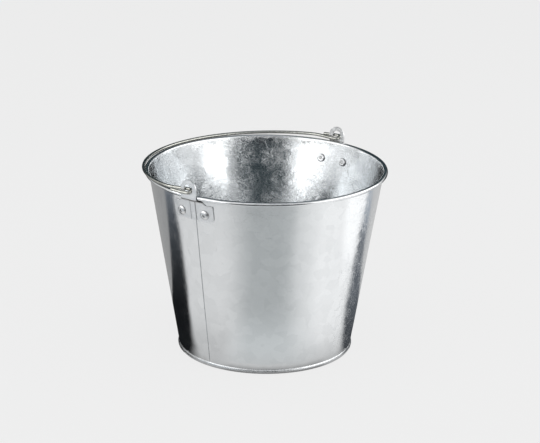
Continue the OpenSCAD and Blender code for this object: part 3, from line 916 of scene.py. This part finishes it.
# dark strips close by: before the front of the rim, before the foot, and hung over the opening
studio_card("card_dark_by_rim", [
    [(round_bucket(azimuth, 150, z), 0.02, cover * side)
     for azimuth, side in ((-26, 0), (-16, 0.8), (2, 1), (18, 1), (30, 0))]
    for z, cover in ((162, 0.0), (167, 1.0), (192, 1.0))], COLD)
studio_card("card_dark_by_foot", [
    [(round_bucket(azimuth, 400, z), tone, cover * shade) for azimuth, tone, shade in (
        (-92, 0.6, 0), (-80, 0.6, 0.9), (-40, 0.6, 0.9), (-24, 0.08, 0.9), (4, 0.05, 1), (26, 0.08, 0.9),
        (38, 0.1, 0))]
    for z, cover in ((2, 1.0), (110, 1.0), (150, 0.0))], (0.9, 1.0, 1.08))
studio_card("card_dark_overhead", [
    [(before_camera(x, -60, z), 0.04, cover)
     for x, cover in ((-78, 0), (-56, 1), (-10, 1), (30, 1), (52, 0))] for z in (227, 345)], COLD)
flat_card("card_dark_front_table", 0.95, [
    (away, [(-34, 0.06, 0), (-16, 0.05, 0.8 * cover), (4, 0.04, cover), (18, 0.06, cover), (36, 0.08, 0)])
    for away, cover in ((520, 0.0), (620, 1.0), (1000, 1.0))], (0.9, 1.0, 1.1))
# bright and high in front, which lights the two ends inside
standing_card("card_pale_front", 1000, [
    (rise, [(-66, 1.0, 0), (-40, 1.05, 0.6 * cover), (-10, 1.4, cover), (18, 1.6, cover),
            (40, 1.3, cover), (62, 1.0, 0)])
    for rise, cover in ((9, 0.0), (12, 1.0), (19, 1.0), (24, 0.0))])
# the dark gap overhead, between the lamps to both sides
over_rows = []
for rise, cover in ((70, 0.0), (77, 1.0), (90, 1.0), (105, 1.0), (118, 1.0), (126, 0.0)):
    y, z = -1100 * math.cos(math.radians(rise)), RIM_LEVEL + 1100 * math.sin(math.radians(rise))
    over_rows.append([(before_camera(x, y, z), 0.2, cover * side)
                      for x, side in ((-800, 0.0), (-520, 1.0), (0, 1.0), (520, 1.0), (800, 0.0))])
studio_card("card_dark_over", over_rows, COLD)

world = bpy.data.worlds.new("studio")
bpy.context.scene.world = world
world.use_nodes = True
tree = world.node_tree
tree.nodes.clear()
rays = add_node(tree, "ShaderNodeLightPath").outputs
seen = maths(tree, "MAXIMUM", rays["Is Camera Ray"],
             maths(tree, "MAXIMUM", rays["Is Glossy Ray"], rays["Is Transmission Ray"]))
room = add_node(tree, "ShaderNodeBackground", Color=(0.78, 0.79, 0.8, 1.0), Strength=0.7)
pale = add_node(tree, "ShaderNodeBackground", Color=PALE, Strength=1.0)
air = add_node(tree, "ShaderNodeMixShader", n0=seen, n1=room.outputs[0], n2=pale.outputs[0])
add_node(tree, "ShaderNodeOutputWorld", Surface=air.outputs[0])


def soft_lamp(name, place, towards, width, height, power):
    """A large soft lamp at a place, pointed at another, its size in metres and its power in watts."""
    data = bpy.data.lights.new(name, "AREA")
    data.shape = "RECTANGLE"
    data.size, data.size_y = width, height
    data.energy = power
    lamp = bpy.data.objects.new(name, data)
    bpy.context.scene.collection.objects.link(lamp)
    lamp.location = place
    lamp.rotation_euler = (Vector(towards) - Vector(place)).to_track_quat("-Z", "Y").to_euler()


bucket_middle = before_camera(0, 0, 150)
soft_lamp("lamp_left", round_bucket(-64, 1200, 560), bucket_middle, 1.45, 0.60, 4.6)
soft_lamp("lamp_right", round_bucket(80, 1200, 560), bucket_middle, 2.3, 0.60, 7.4)
soft_lamp("lamp_over", (0.0, 0.0, 1.7), (0, 0, 0.1), 1.6, 1.6, 9)

LOOK_AT = Vector((0, 0, 0.091))         # metres, the height that the camera circles
AIM_RIGHT, AIM_UP = 0.00422, 0.03510    # metres that it looks past that point
camera_data = bpy.data.cameras.new("camera")
camera = bpy.data.objects.new("camera", camera_data)
bpy.context.scene.collection.objects.link(camera)
camera_data.sensor_width = 36.0
camera_data.sensor_fit = "HORIZONTAL"
camera_data.lens = 126.26
rise = math.radians(CAMERA_RISE)
out_to = Vector((math.sin(front_turn) * math.cos(rise), -math.cos(front_turn) * math.cos(rise),
                 math.sin(rise)))
place = LOOK_AT + out_to * CAMERA_AWAY
right = Vector((math.cos(front_turn), math.sin(front_turn), 0))
target = LOOK_AT + right * AIM_RIGHT + out_to.cross(right) * AIM_UP
ahead = (target - place).normalized()
right = ahead.cross(Vector((0, 0, 1))).normalized()
up = right.cross(ahead)
roll = math.radians(0.584)              # the camera stands slightly askew
right, up = right * math.cos(roll) + up * math.sin(roll), up * math.cos(roll) - right * math.sin(roll)
camera.matrix_world = Matrix.Translation(place) @ Matrix((right, up, -ahead)).transposed().to_4x4()
bpy.context.scene.camera = camera
bpy.context.scene.view_settings.view_transform = "Standard"
